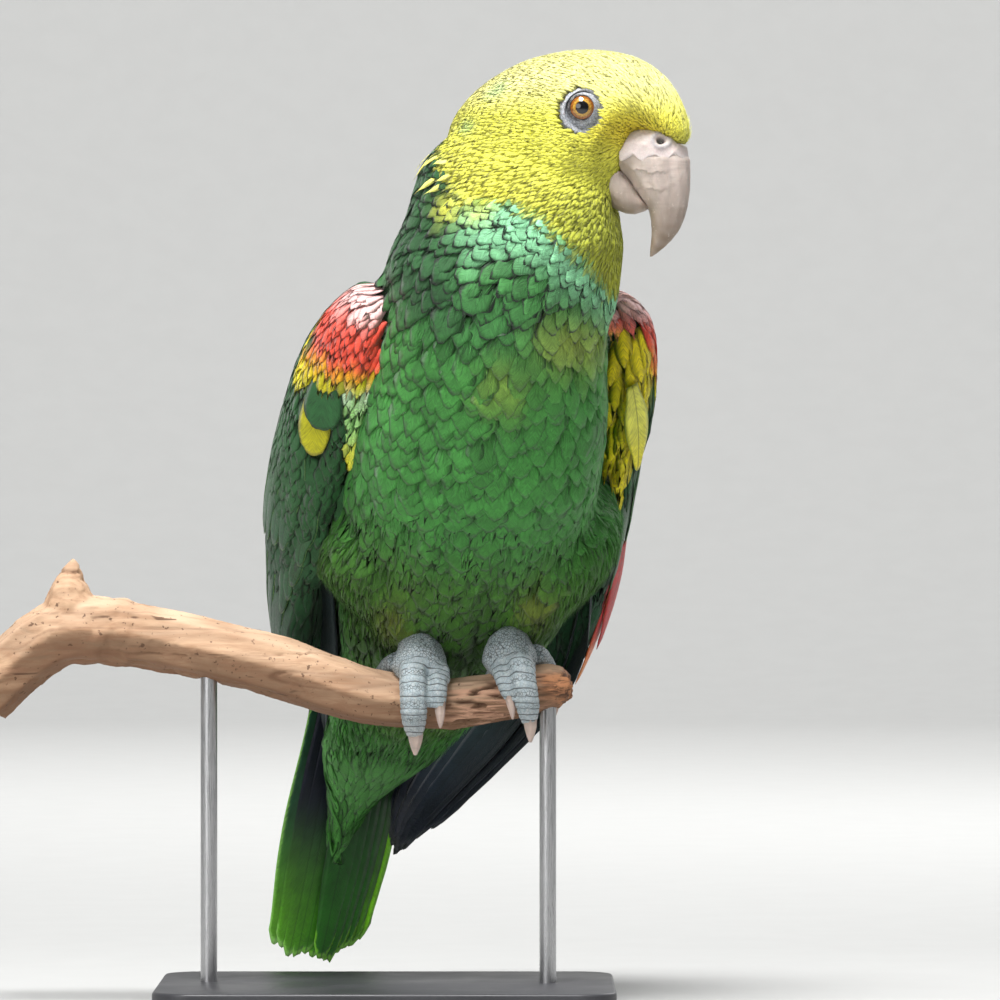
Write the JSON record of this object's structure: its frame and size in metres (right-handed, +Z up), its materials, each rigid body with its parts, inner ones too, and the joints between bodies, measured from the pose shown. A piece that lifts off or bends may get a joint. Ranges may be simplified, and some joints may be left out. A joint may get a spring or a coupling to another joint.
{
  "type": "amazon parrot display model",
  "caption": "Life-size still model of a yellow-headed amazon parrot, upright on a cut length of bare branch with its head turned, held by rods on a flat base.",
  "frame": {"origin": "middle of the stand base's underside, where it rests on a flat surface", "axes": "+Z up; the bird faces -Y and a little towards +X, with its bill towards +X; the branch runs along X"},
  "size_m": [0.2628, 0.2134, 0.3409],
  "materials": {
    "yellow_feathers": "bright yellow contour feathers",
    "green_feathers": "green contour feathers with dusky edges",
    "shoulder_feathers": "coral red to yellow lesser coverts",
    "flight_feathers": "dark green, red and blue-black wing feathers",
    "tail_feathers": "green tail feathers with a yellow-green end band",
    "bill_horn": "satin horn, bone coloured",
    "claw_horn": "satin horn, greyish pink",
    "foot_skin": "grey scaly skin",
    "cere_skin": "bare pinkish white skin",
    "eye": "glossy eye with an amber iris",
    "bare_wood": "weathered branch without bark",
    "stand_paint": "satin dark grey paint",
    "stand_steel": "brushed steel"
  },
  "bodies": {
    "root": {"back": "green_feathers", "belly": "green_feathers", "bill_lower": "bill_horn", "bill_upper": "bill_horn", "breast": "green_feathers", "cere": "cere_skin", "claw_left_inner_front": "claw_horn", "claw_left_inner_rear": "claw_horn", "claw_left_outer_front": "claw_horn", "claw_left_outer_rear": "claw_horn", "claw_right_inner_front": "claw_horn", "claw_right_inner_rear": "claw_horn", "claw_right_outer_front": "claw_horn", "claw_right_outer_rear": "claw_horn", "eye_left": "eye", "eye_right": "eye", "foot_left": "foot_skin", "foot_right": "foot_skin", "head": "yellow_feathers", "mantle": "green_feathers", "neck": "green_feathers", "perch": "bare_wood", "rump": "green_feathers", "stand_base": "stand_paint", "stand_rod_left": "stand_steel", "stand_rod_right": "stand_steel", "tail_coverts": "green_feathers", "tail_left": "tail_feathers", "tail_middle": "tail_feathers", "tail_right": "tail_feathers", "thigh_left": "green_feathers", "thigh_right": "green_feathers", "toe_left_inner_front": "foot_skin", "toe_left_inner_rear": "foot_skin", "toe_left_outer_front": "foot_skin", "toe_left_outer_rear": "foot_skin", "toe_right_inner_front": "foot_skin", "toe_right_inner_rear": "foot_skin", "toe_right_outer_front": "foot_skin", "toe_right_outer_rear": "foot_skin", "vent": "green_feathers", "wing_left_coverts": "flight_feathers", "wing_left_primaries": "flight_feathers", "wing_left_secondaries": "flight_feathers", "wing_left_shoulder": "shoulder_feathers", "wing_right_coverts": "flight_feathers", "wing_right_primaries": "flight_feathers", "wing_right_secondaries": "flight_feathers", "wing_right_shoulder": "shoulder_feathers"}
  },
  "joints": []
}
